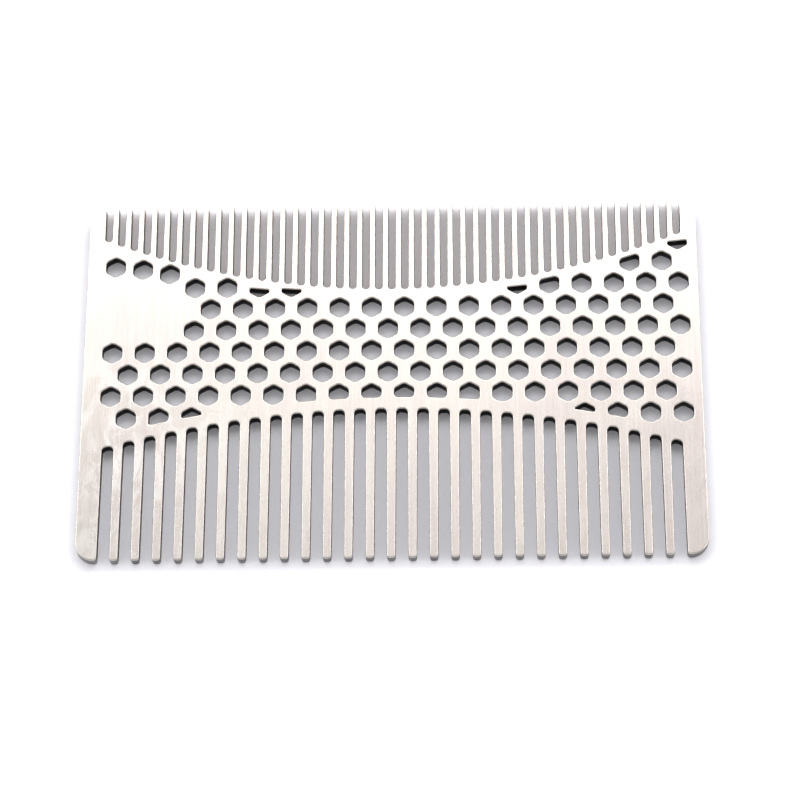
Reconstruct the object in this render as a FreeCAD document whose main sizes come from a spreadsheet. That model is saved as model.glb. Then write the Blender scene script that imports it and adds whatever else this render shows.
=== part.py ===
import FreeCAD, Part
import math
import os

# One-piece card-size comb: fine teeth along +Y, coarse teeth along -Y and a waisted web between
# them perforated with hexagonal holes.  Every sub-part is one region of the same plate and meets
# its neighbours face to face.  The plate lies flat: X along its length, Z through its thickness.

os.makedirs("parts", exist_ok=True)
doc = FreeCAD.newDocument("card_comb")

DIMENSIONS = [
    ("plate_length", 85.6, "overall length, along X"),
    ("plate_width", 54.0, "overall width across both rows of teeth, along Y"),
    ("plate_thickness", 1.6, "sheet thickness, along Z"),
    ("plate_corner", 2.7, "radius of the four outer corners"),
    ("column_pitch", 4.51, "hole spacing along a row"),
    ("row_pitch", 3.324, "spacing between rows of holes"),
    ("first_column", -38.861, "X of column 0"),
    ("first_row", 3.963, "Y of row 0"),
    ("hole_flats", 2.75, "hexagon hole, across flats"),
    ("hole_corner", 0.75, "corner radius inside a full hole"),
    ("trim_corner", 0.6, "corner radius inside a trimmed hole"),
    ("fine_slots", 45, "number of slots between the fine teeth"),
    ("fine_pitch", 1.8205, "fine tooth spacing"),
    ("fine_slot_root", 1.0, "fine slot width at its root"),
    ("fine_slot_mouth", 1.06, "fine slot width at the tooth tips"),
    ("fine_root_corner", 0.44, "corner radius at a fine slot root"),
    ("fine_tip_corner", 0.31, "corner radius at a fine tooth tip"),
    ("fine_root_low", 13.42, "Y of the fine slot roots at mid length"),
    ("fine_root_radius", 103.8, "radius of the arc the fine slot roots follow"),
    ("coarse_slots", 28, "number of slots between the coarse teeth"),
    ("coarse_pitch", 2.885, "coarse tooth spacing"),
    ("coarse_slot_root", 1.56, "coarse slot width at its root"),
    ("coarse_slot_mouth", 1.72, "coarse slot width at the tooth tips"),
    ("coarse_root_corner", 0.64, "corner radius at a coarse slot root"),
    ("coarse_tip_corner", 0.44, "corner radius at a coarse tooth tip"),
    ("coarse_root_high", -4.96, "Y of the coarse slot roots at mid length"),
    ("coarse_root_radius", 147.7, "radius of the arc the coarse slot roots follow"),
    ("trim_gap", 1.73, "plain margin kept between coarse slot roots and trimmed holes"),
    ("base_gap", 0.9, "distance from the slot roots to where a tooth region starts"),
]

sheet = doc.addObject("Spreadsheet::Sheet", "Dimensions")
for line, (alias, value, meaning) in enumerate(DIMENSIONS, start=1):
    sheet.set(f"A{line}", alias)
    sheet.set(f"B{line}", str(value))
    sheet.set(f"C{line}", meaning)
    sheet.setAlias(f"B{line}", alias)
doc.recompute()


def size(alias):
    """Value of one driving dimension, read back from the sheet."""
    return float(sheet.get(alias))


HALF_LENGTH = size("plate_length") / 2
HALF_WIDTH = size("plate_width") / 2
CORNER = size("plate_corner")
BEYOND = 1.0  # how far cutting outlines run past the plate edge


# ---------------------------------------------------------------- the two rows of teeth
class ToothRow:
    """One row of teeth: side is +1 for the fine row (towards +Y) and -1 for the coarse row."""

    def __init__(self, name, side, root_mid):
        self.side = side
        self.count = int(size(f"{name}_slots"))
        self.pitch = size(f"{name}_pitch")
        self.root_half = size(f"{name}_slot_root") / 2
        self.mouth_half = size(f"{name}_slot_mouth") / 2
        self.root_corner = size(f"{name}_root_corner")
        self.tip_corner = size(f"{name}_tip_corner")
        self.radius = size(f"{name}_root_radius")
        self.centre_y = root_mid + side * self.radius
        self.base_radius = self.radius - size("base_gap")

    def arc_y(self, x, radius):
        """Y at x on the arc of the given radius about this row's root centre."""
        return self.centre_y - self.side * math.sqrt(radius**2 - x**2)

    def slot_centres(self):
        start = -self.pitch * (self.count - 1) / 2
        return [start + self.pitch * number for number in range(self.count)]

    def edge_y(self, x):
        """Y of the plate's edge at x, which drops away inside the rounded plate corners."""
        into_corner = max(0, abs(x) - (HALF_LENGTH - CORNER))
        drop = CORNER - math.sqrt(CORNER**2 - into_corner**2)
        return self.side * (HALF_WIDTH - drop)

    def slot_corners(self, centre):
        """Corners of one slot as (x, y, rounding); it runs past the plate edge."""
        outside_y = self.side * (HALF_WIDTH + BEYOND)
        flare = self.mouth_half + self.tip_corner * 1.08
        left, right = centre - self.root_half, centre + self.root_half
        left_mouth, right_mouth = centre - self.mouth_half, centre + self.mouth_half
        left_tip, right_tip = self.edge_y(left_mouth), self.edge_y(right_mouth)
        return [
            (left, self.arc_y(left, self.radius), self.root_corner),
            (left_mouth, left_tip, self.tip_corner),
            (centre - flare, left_tip, 0),
            (centre - flare, outside_y, 0),
            (centre + flare, outside_y, 0),
            (centre + flare, right_tip, 0),
            (right_mouth, right_tip, self.tip_corner),
            (right, self.arc_y(right, self.radius), self.root_corner),
        ]


fine_row = ToothRow("fine", 1, size("fine_root_low"))
coarse_row = ToothRow("coarse", -1, size("coarse_root_high"))


# ---------------------------------------------------------------- outline helpers
def point(x, y):
    return FreeCAD.Vector(x, y, 0)


def rounded_loop(corners):
    """Closed outline of lines and fillet arcs through corners given as (x, y, rounding)."""
    starts, ends, arcs = [], [], []
    for number, (x, y, radius) in enumerate(corners):
        here = point(x, y)
        before = corners[number - 1]
        after = corners[(number + 1) % len(corners)]
        back = (point(before[0], before[1]) - here).normalize()
        ahead = (point(after[0], after[1]) - here).normalize()
        half_angle = back.getAngle(ahead) / 2
        if radius == 0:
            starts.append(here)
            ends.append(here)
            arcs.append(None)
            continue
        reach = radius / math.tan(half_angle)
        inward = (back + ahead).normalize()
        middle = here + inward * (radius / math.sin(half_angle) - radius)
        starts.append(here + back * reach)
        ends.append(here + ahead * reach)
        arcs.append(Part.Arc(starts[-1], middle, ends[-1]))
    outline = []
    for number, arc in enumerate(arcs):
        if arc is not None:
            outline.append(arc)
        outline.append(Part.LineSegment(ends[number], starts[(number + 1) % len(starts)]))
    return outline


def base_arc(row, x_from, x_to):
    """Arc along the base of a row's tooth regions."""
    x_middle = (x_from + x_to) / 2
    stops = [point(x, row.arc_y(x, row.base_radius)) for x in (x_from, x_middle, x_to)]
    return Part.Arc(*stops)


# ---------------------------------------------------------------- body helpers
def new_body(label):
    body = doc.addObject("PartDesign::Body", label)
    body.Label = label
    body.AllowCompound = True
    return body


def new_sketch(body, name, geometry):
    """Sketch on the body's own XY plane."""
    plane = next(item for item in body.Origin.OriginFeatures if item.Role == "XY_Plane")
    sketch = body.newObject("Sketcher::SketchObject", f"{body.Label}_{name}")
    sketch.AttachmentSupport = [(plane, "")]
    sketch.MapMode = "FlatFace"
    sketch.addGeometry(geometry, False)
    return sketch


def pad_blank(body, geometry):
    """Sheet metal blank with the plate's thickness."""
    sketch = new_sketch(body, "outline", geometry)
    pad = body.newObject("PartDesign::Pad", f"{body.Label}_blank")
    pad.Profile = sketch
    pad.setExpression("Length", "Dimensions.plate_thickness")
    body.Tip = pad
    doc.recompute()
    return pad


def cut_through(body, sketch, name):
    """Pocket through the whole sheet; it must take metal away."""
    before = body.Shape.Volume
    pocket = body.newObject("PartDesign::Pocket", f"{body.Label}_{name}")
    pocket.Profile = sketch
    pocket.Type = "ThroughAll"
    pocket.Reversed = True
    body.Tip = pocket
    doc.recompute()
    if body.Shape.Volume >= before - 1e-6:
        raise RuntimeError(f"{pocket.Name} does not cut")
    return pocket


def cut_slots(body, row, centres, name):
    geometry = []
    for centre in centres:
        geometry.extend(rounded_loop(row.slot_corners(centre)))
    cut_through(body, new_sketch(body, f"{name}_outline", geometry), name)


# ---------------------------------------------------------------- perforated web
def hexagon(x, y):
    """Corners of a hexagon standing on a point, counter-clockwise from the right."""
    reach = size("hole_flats") / math.sqrt(3)
    angles = [math.radians(30 + 60 * step) for step in range(6)]
    return [(x + reach * math.cos(angle), y + reach * math.sin(angle)) for angle in angles]


def hole_centre(column, row):
    x = size("first_column") + column * size("column_pitch")
    y = size("first_row") + row * size("row_pitch")
    return x, y


def trimmed_hexagon(column, row, offset, slope, keep):
    """Hexagon cut by a line through (centre, centre + offset); keep +1 keeps the part above."""
    x, y = hole_centre(column, row)
    ring = hexagon(x, y)
    heights = [keep * (py - y - offset - slope * (px - x)) for px, py in ring]
    kept = []
    for number, (px, py) in enumerate(ring):
        qx, qy = ring[(number + 1) % 6]
        here, there = heights[number], heights[(number + 1) % 6]
        if here > 0:
            kept.append((px, py))
        if here * there < 0:
            share = here / (here - there)
            kept.append((px + (qx - px) * share, py + (qy - py) * share))
    return kept


def soften(ring, radius):
    """Give every corner the rounding its two sides have room for."""
    corners = []
    for number, (x, y) in enumerate(ring):
        here = point(x, y)
        back = point(*ring[number - 1]) - here
        ahead = point(*ring[(number + 1) % len(ring)]) - here
        room = 0.45 * min(back.Length, ahead.Length)
        limit = room * math.tan(back.getAngle(ahead) / 2)
        corners.append((x, y, min(radius, limit)))
    return corners


# Full holes: row number, first column, number of holes.
HOLE_RUNS = [
    (4, 17, 1),
    (3, 2.5, 2),
    (3, 14.5, 4),
    (2, 3, 15),
    (1, 2.5, 16),
    (0, 0, 18),
    (-1, 0.5, 18),
    (-2, 0, 5),
    (-2, 13, 5),
    (-3, 0.5, 1),
    (-3, 16.5, 2),
]

# Holes over the plain panel that leave the grid and follow the rise of the fine slot roots.
PANEL_HOLES = [(-38.87, 17.36), (-35.02, 16.93), (-31.22, 16.17)]

# Holes trimmed under the fine teeth: column, row, trim height above the centre, trim slope.
UPPER_TRIMS = [
    (17.5, 5, -0.23, 0.10),
    (16, 4, 0.78, 0.33),
    (13.5, 3, 0.90, 0.24),
    (12.5, 3, -0.36, 0.10),
    (5.5, 3, -0.37, -0.08),
    (4.5, 3, -0.26, -0.11),
]

# Holes trimmed over the coarse teeth: column, row.
LOWER_TRIMS = [(column, -2) for column in range(5, 13)]
LOWER_TRIMS += [(1.5, -3), (2.5, -3), (14.5, -3), (15.5, -3)]


def full_hole(x, y):
    """Outline of one whole hole."""
    return rounded_loop([(px, py, size("hole_corner")) for px, py in hexagon(x, y)])


def full_hole_centres():
    centres = list(PANEL_HOLES)
    for row, first, count in HOLE_RUNS:
        centres.extend(hole_centre(first + number, row) for number in range(count))
    return centres


def build_web():
    body = new_body("perforated_web")
    top_left, top_right, bottom_right, bottom_left = [
        point(x, row.arc_y(x, row.base_radius))
        for row, x in (
            (fine_row, -HALF_LENGTH),
            (fine_row, HALF_LENGTH),
            (coarse_row, HALF_LENGTH),
            (coarse_row, -HALF_LENGTH),
        )
    ]
    outline = [
        base_arc(fine_row, -HALF_LENGTH, HALF_LENGTH),
        Part.LineSegment(top_right, bottom_right),
        base_arc(coarse_row, HALF_LENGTH, -HALF_LENGTH),
        Part.LineSegment(bottom_left, top_left),
    ]
    pad_blank(body, outline)
    geometry = []
    for x, y in full_hole_centres():
        geometry.extend(full_hole(x, y))
    cut_through(body, new_sketch(body, "holes_outline", geometry), "holes")
    geometry = []
    for column, row, offset, slope in UPPER_TRIMS:
        ring = trimmed_hexagon(column, row, offset, slope, -1)
        geometry.extend(rounded_loop(soften(ring, size("trim_corner"))))
    trim_radius = coarse_row.radius + size("trim_gap")
    for column, row in LOWER_TRIMS:
        x, y = hole_centre(column, row)
        offset = coarse_row.arc_y(x, trim_radius) - y
        slope = -x / math.sqrt(trim_radius**2 - x**2)
        ring = trimmed_hexagon(column, row, offset, slope, 1)
        geometry.extend(rounded_loop(soften(ring, size("trim_corner"))))
    cut_through(body, new_sketch(body, "trimmed_outline", geometry), "trimmed_holes")
    cut_slots(body, fine_row, fine_row.slot_centres(), "fine_slot_roots")
    cut_slots(body, coarse_row, coarse_row.slot_centres(), "coarse_slot_roots")
    return body


# ---------------------------------------------------------------- teeth and guards
def build_teeth(label, row):
    """All teeth of one row, from the base arc out to the tips."""
    body = new_body(label)
    centres = row.slot_centres()
    first, last = centres[0], centres[-1]
    edge_y = row.side * HALF_WIDTH
    outline = [
        base_arc(row, first, last),
        Part.LineSegment(point(last, row.arc_y(last, row.base_radius)), point(last, edge_y)),
        Part.LineSegment(point(last, edge_y), point(first, edge_y)),
        Part.LineSegment(point(first, edge_y), point(first, row.arc_y(first, row.base_radius))),
    ]
    pad_blank(body, outline)
    cut_slots(body, row, centres, "slots")
    return body


def guard_outline(row, hand):
    """End tooth between the last slot and the plate's rounded corner; hand is +1 or -1."""
    inner_x = hand * row.slot_centres()[-1]
    outer_x = hand * HALF_LENGTH
    edge_y = row.side * HALF_WIDTH
    centre = point(outer_x - hand * CORNER, edge_y - row.side * CORNER)
    diagonal = CORNER / math.sqrt(2)
    corner_middle = centre + point(hand * diagonal, row.side * diagonal)
    corner_side = point(outer_x, centre.y)
    corner_end = point(centre.x, edge_y)
    return [
        base_arc(row, inner_x, outer_x),
        Part.LineSegment(point(outer_x, row.arc_y(outer_x, row.base_radius)), corner_side),
        Part.Arc(corner_side, corner_middle, corner_end),
        Part.LineSegment(corner_end, point(inner_x, edge_y)),
        Part.LineSegment(point(inner_x, edge_y), point(inner_x, row.arc_y(inner_x, row.base_radius))),
    ]


def build_guards(label, row):
    """The two solid end teeth of one row."""
    body = new_body(label)
    pad_blank(body, guard_outline(row, 1) + guard_outline(row, -1))
    centres = row.slot_centres()
    cut_slots(body, row, (centres[0], centres[-1]), "slots")
    return body


nodes = [
    build_web(),
    build_teeth("fine_teeth", fine_row),
    build_guards("fine_guards", fine_row),
    build_teeth("coarse_teeth", coarse_row),
    build_guards("coarse_guards", coarse_row),
]

for item in doc.Objects:
    if "Invalid" in item.State or "Error" in item.State:
        raise RuntimeError(f"{item.Name} failed: {item.State}")
for node in nodes:
    if node.Shape.isNull() or not node.Shape.isValid():
        raise RuntimeError(f"{node.Label} has a bad shape")
    node.Shape.exportStep(f"parts/{node.Label}.step")
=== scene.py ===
import math

import bmesh
import bpy
from mathutils import Euler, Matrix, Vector
from mathutils.geometry import delaunay_2d_cdt


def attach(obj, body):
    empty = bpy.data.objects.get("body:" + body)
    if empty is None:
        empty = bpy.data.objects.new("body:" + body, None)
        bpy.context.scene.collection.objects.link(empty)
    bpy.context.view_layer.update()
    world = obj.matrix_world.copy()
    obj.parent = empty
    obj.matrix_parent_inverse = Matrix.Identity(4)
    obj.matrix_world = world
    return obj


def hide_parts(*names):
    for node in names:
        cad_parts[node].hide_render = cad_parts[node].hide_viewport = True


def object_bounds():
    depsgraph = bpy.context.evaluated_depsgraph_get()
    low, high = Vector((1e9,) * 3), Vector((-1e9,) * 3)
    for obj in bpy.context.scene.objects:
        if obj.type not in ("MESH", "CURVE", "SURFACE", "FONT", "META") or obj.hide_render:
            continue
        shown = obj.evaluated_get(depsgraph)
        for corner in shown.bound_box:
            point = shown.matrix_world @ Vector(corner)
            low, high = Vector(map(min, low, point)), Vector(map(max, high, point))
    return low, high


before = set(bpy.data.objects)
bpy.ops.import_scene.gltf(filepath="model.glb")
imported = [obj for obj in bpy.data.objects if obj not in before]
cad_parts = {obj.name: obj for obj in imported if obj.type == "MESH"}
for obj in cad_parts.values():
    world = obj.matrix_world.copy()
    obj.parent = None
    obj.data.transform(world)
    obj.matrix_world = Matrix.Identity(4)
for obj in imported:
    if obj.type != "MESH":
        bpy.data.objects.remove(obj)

# A card-size steel comb, one flat plate.  The visual piece is one continuous plate with every
# edge rounded over; it stands for the five regions that the CAD model is split into.

MM = 0.001
CAD_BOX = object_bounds()
LOW, HIGH = Vector(CAD_BOX[0]), Vector(CAD_BOX[1])
HALF_LENGTH = (HIGH.x - LOW.x) / 2
HALF_WIDTH = (HIGH.y - LOW.y) / 2
THICKNESS = HIGH.z - LOW.z
PLATE_NODES = sorted(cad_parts)

PLATE_CORNER = 2.7 * MM
EDGE_ROUND = 0.16 * MM
RIM_MARGIN = 1.05 * EDGE_ROUND  # where the rounded rim meets the flat face
ARC_STEP = math.radians(13)
FEWEST_ARC_STEPS = 3
PLATE_CORNER_STEPS = 14
ROUND_STEPS = 4

# The three wall indices mark walls whose colour is painted shade and painted reflection.
SATIN, RIM, TIP_WALL_SHADED, FINE_WALL_SHADED, CUT_WALL_SHADED = range(5)

# ---------------------------------------------------------------- outlines
GUARD_CLEARANCE = 1.8  # tooth tip roundings kept free of plate corner points


class ToothRow:
    """One row of teeth: side is +1 for the fine row (towards +Y) and -1 for the coarse row."""

    def __init__(
        self, side, count, pitch, root_width, mouth_width, root_corner, tip_corner,
        root_mid, radius,
    ):
        self.side = side
        self.count = count
        self.pitch = pitch * MM
        self.root_half = root_width * MM / 2
        self.mouth_half = mouth_width * MM / 2
        self.root_corner = root_corner * MM
        self.tip_corner = tip_corner * MM
        self.radius = radius * MM
        self.centre_y = root_mid * MM + side * self.radius

    def arc_y(self, x, radius):
        return self.centre_y - self.side * math.sqrt(radius**2 - x**2)

    def slot_centres(self):
        start = -self.pitch * (self.count - 1) / 2
        return [start + self.pitch * number for number in range(self.count)]

    def slot_corners(self, centre):
        """The slot's four corners from its left mouth round the root to its right mouth."""
        left, right = centre - self.root_half, centre + self.root_half
        return [
            (centre - self.mouth_half, mouth_y(self, centre - self.mouth_half), self.tip_corner),
            (left, self.arc_y(left, self.radius), self.root_corner),
            (right, self.arc_y(right, self.radius), self.root_corner),
            (centre + self.mouth_half, mouth_y(self, centre + self.mouth_half), self.tip_corner),
        ]


def mouth_y(row, x):
    """Y of the plate's edge at x, which drops away inside the rounded plate corners."""
    into_corner = abs(x) - (HALF_LENGTH - PLATE_CORNER)
    if into_corner <= 0:
        return row.side * HALF_WIDTH
    drop = PLATE_CORNER - math.sqrt(PLATE_CORNER**2 - into_corner**2)
    return row.side * (HALF_WIDTH - drop)


# Slot counts, then millimetres.
FINE = ToothRow(
    side=1, count=45, pitch=1.8205, root_width=1.0, mouth_width=1.06,
    root_corner=0.44, tip_corner=0.31, root_mid=13.42, radius=103.8,
)
COARSE = ToothRow(
    side=-1, count=28, pitch=2.885, root_width=1.56, mouth_width=1.72,
    root_corner=0.64, tip_corner=0.44, root_mid=-4.96, radius=147.7,
)


def rounded(corners):
    """Closed outline through corners given as (x, y, rounding), as a list of points."""
    outline = []
    for number, (x, y, radius) in enumerate(corners):
        here = Vector((x, y))
        if radius == 0:
            outline.append(here)
            continue
        back = (Vector(corners[number - 1][:2]) - here).normalized()
        ahead = (Vector(corners[(number + 1) % len(corners)][:2]) - here).normalized()
        half = back.angle(ahead) / 2
        centre = here + (back + ahead).normalized() * (radius / math.sin(half))
        start = here + back * (radius / math.tan(half)) - centre
        end = here + ahead * (radius / math.tan(half)) - centre
        turn = start.angle_signed(end)
        steps = max(FEWEST_ARC_STEPS, round(abs(turn) / ARC_STEP))
        first = math.atan2(start.y, start.x)
        for step in range(steps + 1):
            angle = first - turn * step / steps
            outline.append(centre + radius * Vector((math.cos(angle), math.sin(angle))))
    return outline


def plate_corner(side_x, side_y, last_x):
    """Points of a plate corner from the short side towards the teeth, up to about last_x."""
    centre = Vector((side_x * (HALF_LENGTH - PLATE_CORNER), side_y * (HALF_WIDTH - PLATE_CORNER)))
    points = []
    for step in range(PLATE_CORNER_STEPS + 1):
        angle = math.pi / 2 * step / PLATE_CORNER_STEPS
        reach = Vector((math.cos(angle) * side_x, math.sin(angle) * side_y)) * PLATE_CORNER
        if abs((centre + reach).x) > last_x:
            points.append((*(centre + reach), 0))
    return points


def plate_outline():
    """The whole outer edge, counter-clockwise, teeth included."""
    corners = []
    for row in (FINE, COARSE):
        centres = row.slot_centres()
        keep = centres[-1] + row.mouth_half + GUARD_CLEARANCE * row.tip_corner
        corners.extend(plate_corner(row.side, row.side, keep))
        for centre in (reversed(centres) if row.side > 0 else centres):
            slot = row.slot_corners(centre)
            corners.extend(reversed(slot) if row.side > 0 else slot)
        corners.extend(reversed(plate_corner(-row.side, row.side, keep)))
    return rounded(corners)


# ---------------------------------------------------------------- hexagon holes
COLUMN_PITCH, ROW_PITCH = 4.51 * MM, 3.324 * MM
FIRST_COLUMN, FIRST_ROW = -38.861 * MM, 3.963 * MM
HOLE_FLATS = 2.75 * MM
HOLE_REACH = HOLE_FLATS / math.sqrt(3)
HOLE_CORNER, TRIM_CORNER = 0.75 * MM, 0.6 * MM
CORNER_SHARE = 0.45  # most of a side that one corner's rounding may use
TRIM_GAP = 1.73 * MM  # metal left between trimmed holes and the coarse slot roots

# Full holes: row number, first column, number of holes.
HOLE_RUNS = [
    (4, 17, 1), (3, 2.5, 2), (3, 14.5, 4), (2, 3, 15), (1, 2.5, 16), (0, 0, 18),
    (-1, 0.5, 18), (-2, 0, 5), (-2, 13, 5), (-3, 0.5, 1), (-3, 16.5, 2),
]
# Holes over the plain panel that leave the grid, in millimetres.
PANEL_HOLES = [(-38.87, 17.36), (-35.02, 16.93), (-31.22, 16.17)]
# Holes trimmed under the fine teeth: column, row, trim height over the centre in mm, slope.
UPPER_TRIMS = [
    (17.5, 5, -0.23, 0.10), (16, 4, 0.78, 0.33), (13.5, 3, 0.90, 0.24),
    (12.5, 3, -0.36, 0.10), (5.5, 3, -0.37, -0.08), (4.5, 3, -0.26, -0.11),
]
# Holes trimmed over the coarse teeth: column, row.
LOWER_TRIMS = [(column, -2) for column in range(5, 13)]
LOWER_TRIMS += [(1.5, -3), (2.5, -3), (14.5, -3), (15.5, -3)]


def hexagon(x, y):
    angles = [math.radians(30 + 60 * step) for step in range(6)]
    return [(x + HOLE_REACH * math.cos(a), y + HOLE_REACH * math.sin(a)) for a in angles]


def hole_centre(column, row):
    return FIRST_COLUMN + column * COLUMN_PITCH, FIRST_ROW + row * ROW_PITCH


def trimmed_hexagon(column, row, offset, slope, keep):
    """Hexagon cut by a line through (centre, centre + offset); keep +1 keeps the part above."""
    x, y = hole_centre(column, row)
    ring = hexagon(x, y)
    heights = [keep * (py - y - offset - slope * (px - x)) for px, py in ring]
    kept = []
    for number, (px, py) in enumerate(ring):
        qx, qy = ring[(number + 1) % 6]
        here, there = heights[number], heights[(number + 1) % 6]
        if here > 0:
            kept.append((px, py))
        if here * there < 0:
            share = here / (here - there)
            kept.append((px + (qx - px) * share, py + (qy - py) * share))
    return kept


def soften(ring, radius):
    """Give every corner the rounding its two sides have room for."""
    corners = []
    for number, (x, y) in enumerate(ring):
        here = Vector((x, y))
        back = Vector(ring[number - 1]) - here
        ahead = Vector(ring[(number + 1) % len(ring)]) - here
        room = CORNER_SHARE * min(back.length, ahead.length)
        corners.append((x, y, min(radius, room * math.tan(back.angle(ahead) / 2))))
    return corners


def hole_outlines():
    centres = [(x * MM, y * MM) for x, y in PANEL_HOLES]
    for row, first, count in HOLE_RUNS:
        centres.extend(hole_centre(first + number, row) for number in range(count))
    outlines = [rounded([(*corner, HOLE_CORNER) for corner in hexagon(x, y)]) for x, y in centres]
    for column, row, offset, slope in UPPER_TRIMS:
        ring = trimmed_hexagon(column, row, offset * MM, slope, -1)
        outlines.append(rounded(soften(ring, TRIM_CORNER)))
    trim_radius = COARSE.radius + TRIM_GAP
    for column, row in LOWER_TRIMS:
        x, y = hole_centre(column, row)
        offset = COARSE.arc_y(x, trim_radius) - y
        slope = -x / math.sqrt(trim_radius**2 - x**2)
        ring = trimmed_hexagon(column, row, offset, slope, 1)
        outlines.append(rounded(soften(ring, TRIM_CORNER)))
    return outlines


# ---------------------------------------------------------------- plate mesh
LEAST_LEAN = 0.5  # keeps an inset point near its corner where the outline turns sharply
TIP_ZONE = 0.8 * MM  # how far in from the plate's outer edges a wall counts as a tip wall
SAME_POINT = 1e-9


def inset(outline, distance):
    """The outline moved into the metal, which lies on its left."""
    moved = []
    for number, here in enumerate(outline):
        back = (here - outline[number - 1]).normalized()
        ahead = (outline[(number + 1) % len(outline)] - here).normalized()
        normal = Vector((-(back + ahead).y, (back + ahead).x)).normalized()
        lean = max(LEAST_LEAN, normal.dot(Vector((-back.y, back.x))))
        moved.append(here + normal * (distance / lean))
    return moved


def edge_profile():
    """Rounded wall from the back face to the front face, as (inset, height)."""
    profile = []
    for step in range(ROUND_STEPS + 1):
        angle = math.pi / 2 * step / ROUND_STEPS
        profile.append((EDGE_ROUND * (1 - math.sin(angle)), EDGE_ROUND * (1 - math.cos(angle))))
    rim = [(RIM_MARGIN, 0.0)] + profile
    return rim + [(depth, THICKNESS - height) for depth, height in reversed(rim)]


def wall_kind(face, is_outer):
    """Material of an upright wall: tooth tips and plate sides, fine slots, or the near-black cuts;
    all three are painted shade and painted reflection.
    """
    middle = face.calc_center_median()
    edge_gap = min(HALF_LENGTH - abs(middle.x), HALF_WIDTH - abs(middle.y))
    if is_outer and edge_gap < TIP_ZONE:
        return TIP_WALL_SHADED
    return FINE_WALL_SHADED if is_outer and middle.y > 0 else CUT_WALL_SHADED


def fill_cap(mesh, loops, faces_up):
    """Flat face between the outer loop, which comes first, and the loops of the holes."""
    points, edges, verts, owners = [], [], [], []
    for owner, (ring, ring_verts) in enumerate(loops):
        start = len(points)
        points.extend(ring)
        verts.extend(ring_verts)
        owners.extend([owner] * len(ring))
        edges.extend((start + n, start + (n + 1) % len(ring)) for n in range(len(ring)))
    filled = delaunay_2d_cdt(points, edges, [], 2, SAME_POINT)
    origins = [origin[0] for origin in filled[3]]
    for triangle in filled[2]:
        corners = [origins[number] for number in triangle]
        touched = {owners[number] for number in corners}
        if len(touched) == 1 and touched != {0}:
            continue  # a triangle across a hole
        corners = [verts[number] for number in corners]
        mesh.faces.new(corners if faces_up else reversed(corners))


def build_plate():
    """One closed mesh: a rounded wall along every outline, then the two flat faces."""
    outlines = [plate_outline()] + [list(reversed(ring)) for ring in hole_outlines()]
    profile = edge_profile()
    wall_level = len(profile) // 2 - 1
    mesh = bmesh.new()
    caps = {0: [], len(profile) - 1: []}
    for outline in outlines:
        rings = []
        for level, (depth, height) in enumerate(profile):
            ring = inset(outline, depth)
            rings.append([mesh.verts.new((p.x, p.y, LOW.z + height)) for p in ring])
            if level in caps:
                caps[level].append((ring, rings[-1]))
        for level, (lower, upper) in enumerate(zip(rings, rings[1:])):
            for number in range(len(lower)):
                after = (number + 1) % len(lower)
                face = mesh.faces.new((lower[number], lower[after], upper[after], upper[number]))
                face.smooth = True
                face.material_index = RIM
                if level == wall_level:
                    face.material_index = wall_kind(face, outline is outlines[0])
    for level, loops in caps.items():
        fill_cap(mesh, loops, level > 0)
    mesh.normal_update()
    data = bpy.data.meshes.new("comb_plate")
    mesh.to_mesh(data)
    mesh.free()
    plate = bpy.data.objects.new("comb_plate", data)
    bpy.context.scene.collection.objects.link(plate)
    return plate


# ---------------------------------------------------------------- materials
class Recipe:
    """A node material on its Principled shader, built up node by node."""

    def __init__(self, name, metallic):
        self.material = bpy.data.materials.new(name)
        self.material.use_nodes = True
        self.tree = self.material.node_tree
        self.shader = self.tree.nodes["Principled BSDF"]
        self.shader.inputs["Metallic"].default_value = metallic
        self.coords = self.add("ShaderNodeTexCoord").outputs["Object"]

    def plug(self, socket, value):
        if isinstance(value, bpy.types.NodeSocket):
            self.tree.links.new(value, socket)
        else:
            socket.default_value = value

    def add(self, kind, inputs=(), **settings):
        node = self.tree.nodes.new(kind)
        for name, value in settings.items():
            setattr(node, name, value)
        for socket, value in inputs:
            self.plug(node.inputs[socket], value)
        return node

    def noise(self, per_metre, detail=2.0, distortion=0.0):
        """Noise with its own frequency along X, Y and Z."""
        stretched = self.add(
            "ShaderNodeVectorMath", [(0, self.coords), (1, per_metre)], operation="MULTIPLY"
        )
        node = self.add("ShaderNodeTexNoise", [
            ("Vector", stretched.outputs[0]), ("Scale", 1.0), ("Detail", detail),
            ("Roughness", 0.6), ("Distortion", distortion),
        ])
        return node.outputs["Fac"]

    def spread(self, value, low, high, to_low, to_high):
        """The range low..high of a value stretched onto to_low..to_high and clamped there."""
        node = self.add("ShaderNodeMapRange", [
            ("Value", value), ("From Min", low), ("From Max", high),
            ("To Min", to_low), ("To Max", to_high),
        ])
        return node.outputs["Result"]

    def combine(self, operation, first, second):
        node = self.add("ShaderNodeMath", [(0, first), (1, second)], operation=operation)
        return node.outputs[0]

    def blend(self, share, first, second):
        node = self.add(
            "ShaderNodeMix", [("Factor", share), (6, first), (7, second)], data_type="RGBA"
        )
        return node.outputs[2]

    def near(self, centre, reach):
        """1 at a place on the plate, falling to 0 at the given reach."""
        gap = self.add(
            "ShaderNodeVectorMath", [(0, self.coords), (1, centre)], operation="DISTANCE"
        )
        return self.spread(gap.outputs["Value"], 0.0, reach, 1.0, 0.0)

    def finish(self, colour, roughness, height, relief):
        bump = self.add(
            "ShaderNodeBump", [("Height", height), ("Strength", 1.0), ("Distance", relief)]
        )
        self.plug(self.shader.inputs["Base Color"], colour)
        self.plug(self.shader.inputs["Roughness"], roughness)
        self.plug(self.shader.inputs["Normal"], bump.outputs["Normal"])
        return self.material
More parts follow.
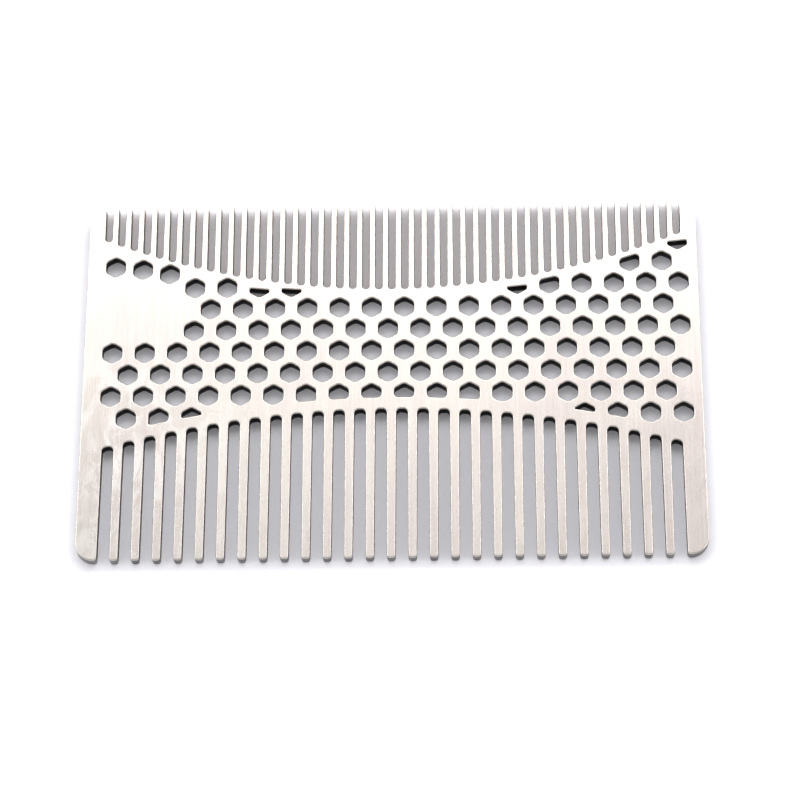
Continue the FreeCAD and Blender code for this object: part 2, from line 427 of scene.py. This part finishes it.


# Linear colours.  The wall tones are far darker than bare steel: they are painted shade and
# painted reflection, standing in for the shade the upright walls sit in and the dark surroundings
# that upright polished walls mirror.
STEEL_CREAM = (0.615, 0.575, 0.535, 1)
STEEL_PINK = (0.585, 0.525, 0.50, 1)
STEEL_PALE = (0.67, 0.64, 0.61, 1)
STEEL_WIPED = (0.71, 0.68, 0.66, 1)
RIM_BRIGHT, RIM_DULL = (0.66, 0.62, 0.58, 1), (0.54, 0.49, 0.455, 1)
# Tooth tip and plate side walls: grey painted shade and painted reflection.
TIP_SHADE_DEEP, TIP_SHADE_SOFT = (0.05, 0.05, 0.05, 1), (0.27, 0.265, 0.26, 1)
# Fine slot walls: brownish painted shade and painted reflection.
FINE_SHADE_DEEP, FINE_SHADE_SOFT = (0.08, 0.055, 0.034, 1), (0.25, 0.18, 0.12, 1)
# Hole and coarse slot walls: near-black painted shade and painted reflection.
HOLE_SHADE_DEEP, HOLE_SHADE_SOFT = (0.003, 0.003, 0.003, 1), (0.012, 0.012, 0.013, 1)
PAPER_SHADE, PAPER_LIGHT = (0.88, 0.868, 0.92, 1), (0.92, 0.912, 0.95, 1)
SATIN_RELIEF, RIM_RELIEF, WALL_RELIEF, PAPER_RELIEF = 0.0008 * MM, 0.004 * MM, 0.01 * MM, 0.01 * MM
SMUDGE = (-37.5 * MM, -13.0 * MM, THICKNESS)
SMUDGE_REACH = 21 * MM


def satin_steel():
    """Wiped sheet: fine grain along Y, drifting warm tint, faint wipe marks near one corner."""
    steel = Recipe("satin_steel", 1.0)
    grain = steel.noise((9000, 220, 9000), detail=3)
    streaks = steel.noise((2300, 45, 2300))
    drift = steel.noise((70, 38, 70), distortion=0.6)
    wipes = steel.noise((190, 95, 190), detail=4, distortion=1.6)
    wiped = steel.spread(wipes, 0.47, 0.58, 0, 1)
    marks = steel.combine("MULTIPLY", wiped, steel.near(SMUDGE, SMUDGE_REACH))
    tint = steel.blend(steel.spread(drift, 0.38, 0.62, 0, 1), STEEL_CREAM, STEEL_PINK)
    tint = steel.blend(steel.spread(streaks, 0.45, 0.75, 0, 0.45), tint, STEEL_PALE)
    tint = steel.blend(marks, tint, STEEL_WIPED)
    brushed = steel.spread(grain, 0.3, 0.7, 0.23, 0.29)
    rough = steel.combine("ADD", brushed, steel.spread(wipes, 0.4, 0.7, 0, 0.05))
    return steel.finish(tint, rough, grain, SATIN_RELIEF)


def polished_rim():
    """Tumbled edge rounding, slightly uneven in tone and finish."""
    rim = Recipe("polished_rim", 1.0)
    wear = rim.noise((900, 900, 900), detail=3)
    tint = rim.blend(rim.spread(wear, 0.35, 0.65, 0, 1), RIM_BRIGHT, RIM_DULL)
    return rim.finish(tint, rim.spread(wear, 0.3, 0.7, 0.22, 0.34), wear, RIM_RELIEF)


def cut_edge(name, dark, light, smooth, coarse):
    """Cut wall with fine upright striations, its tone from dark to light being painted shade and
    painted reflection; smooth and coarse bound its roughness.
    """
    edge = Recipe(name, 1.0)
    striae = edge.noise((7000, 7000, 500), detail=3)
    cloud = edge.noise((420, 420, 700))
    lines = edge.spread(striae, 0.3, 0.7, 0.6, 1)
    tone = edge.combine("MULTIPLY", lines, edge.spread(cloud, 0.35, 0.65, 0.5, 1))
    tint = edge.blend(tone, dark, light)
    return edge.finish(tint, edge.spread(striae, 0.3, 0.7, smooth, coarse), striae, WALL_RELIEF)


plate = build_plate()
for material in (
    satin_steel(),
    polished_rim(),
    # The three wall materials carry painted shade and painted reflection in their colour.
    cut_edge("tip_wall_painted_shade", TIP_SHADE_DEEP, TIP_SHADE_SOFT, 0.28, 0.42),
    cut_edge("fine_wall_painted_shade", FINE_SHADE_DEEP, FINE_SHADE_SOFT, 0.35, 0.5),
    cut_edge("cut_wall_painted_shade", HOLE_SHADE_DEEP, HOLE_SHADE_SOFT, 0.4, 0.55),
):
    plate.data.materials.append(material)
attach(plate, "root")
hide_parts(*PLATE_NODES)

# ---------------------------------------------------------------- stage
FLOOR_REACH = 2.0
WORLD_STRENGTH = 0.62
LIGHT_HEIGHT = 0.75
BACK_NEAR, BACK_FAR = 0.40, 1.4
SIDE_PLACE, SIDE_FORWARD, SIDE_TURN = 1.0, 0.3, 50
CAMERA_LENS, CAMERA_SENSOR = 137.951, 36
CAMERA_PLACE = Vector((14.061, -179.895, 384.505)) * MM
CAMERA_TURN = Euler([math.radians(turn) for turn in (24.6946, 1.8998, 0.0623)], "XYZ")


def paper_floor():
    """Plain pale sheet under the comb."""
    mesh = bpy.data.meshes.new("floor")
    signs = ((-1, -1), (1, -1), (1, 1), (-1, 1))
    corners = [(x * FLOOR_REACH, y * FLOOR_REACH, LOW.z) for x, y in signs]
    mesh.from_pydata(corners, [], [(0, 1, 2, 3)])
    paper = Recipe("pale_paper", 0.0)
    fibre = paper.noise((1800, 1800, 1800), detail=4)
    tint = paper.blend(fibre, PAPER_SHADE, PAPER_LIGHT)
    rough = paper.spread(fibre, 0.3, 0.7, 0.82, 0.95)
    mesh.materials.append(paper.finish(tint, rough, fibre, PAPER_RELIEF))
    floor = bpy.data.objects.new("floor", mesh)
    bpy.context.scene.collection.objects.link(floor)
    return floor


paper_floor()

world = bpy.data.worlds.new("studio")
world.use_nodes = True
sky = world.node_tree.nodes["Background"]
sky.inputs["Color"].default_value = (1, 1, 1, 1)
sky.inputs["Strength"].default_value = WORLD_STRENGTH
bpy.context.scene.world = world


def softbox(name, place, turn, width, depth, radiance):
    """Rectangular light; it faces straight down before its turn about Y."""
    data = bpy.data.lights.new(name, "AREA")
    data.shape = "RECTANGLE"
    data.size = width
    data.size_y = depth
    data.energy = math.pi * width * depth * radiance
    light = bpy.data.objects.new(name, data)
    light.location = place
    light.rotation_euler = (0, math.radians(turn), 0)
    bpy.context.scene.collection.objects.link(light)


back_place = (0.0, (BACK_NEAR + BACK_FAR) / 2, LIGHT_HEIGHT)
softbox("back_softbox", back_place, 0, width=2.4, depth=BACK_FAR - BACK_NEAR, radiance=2.7)
softbox("centre_fill", (-0.03, 0.30, LIGHT_HEIGHT), 0, width=0.16, depth=0.12, radiance=0.8)
for name, side in (("left_softbox", -1), ("right_softbox", 1)):
    side_place = (side * SIDE_PLACE, SIDE_FORWARD, LIGHT_HEIGHT)
    softbox(name, side_place, side * SIDE_TURN, width=1.0, depth=1.5, radiance=1.1)

camera_data = bpy.data.cameras.new("camera")
camera_data.lens = CAMERA_LENS
camera_data.sensor_width = CAMERA_SENSOR
camera = bpy.data.objects.new("camera", camera_data)
camera.location = CAMERA_PLACE
camera.rotation_euler = CAMERA_TURN
bpy.context.scene.collection.objects.link(camera)
bpy.context.scene.camera = camera
bpy.context.scene.view_settings.view_transform = "Standard"
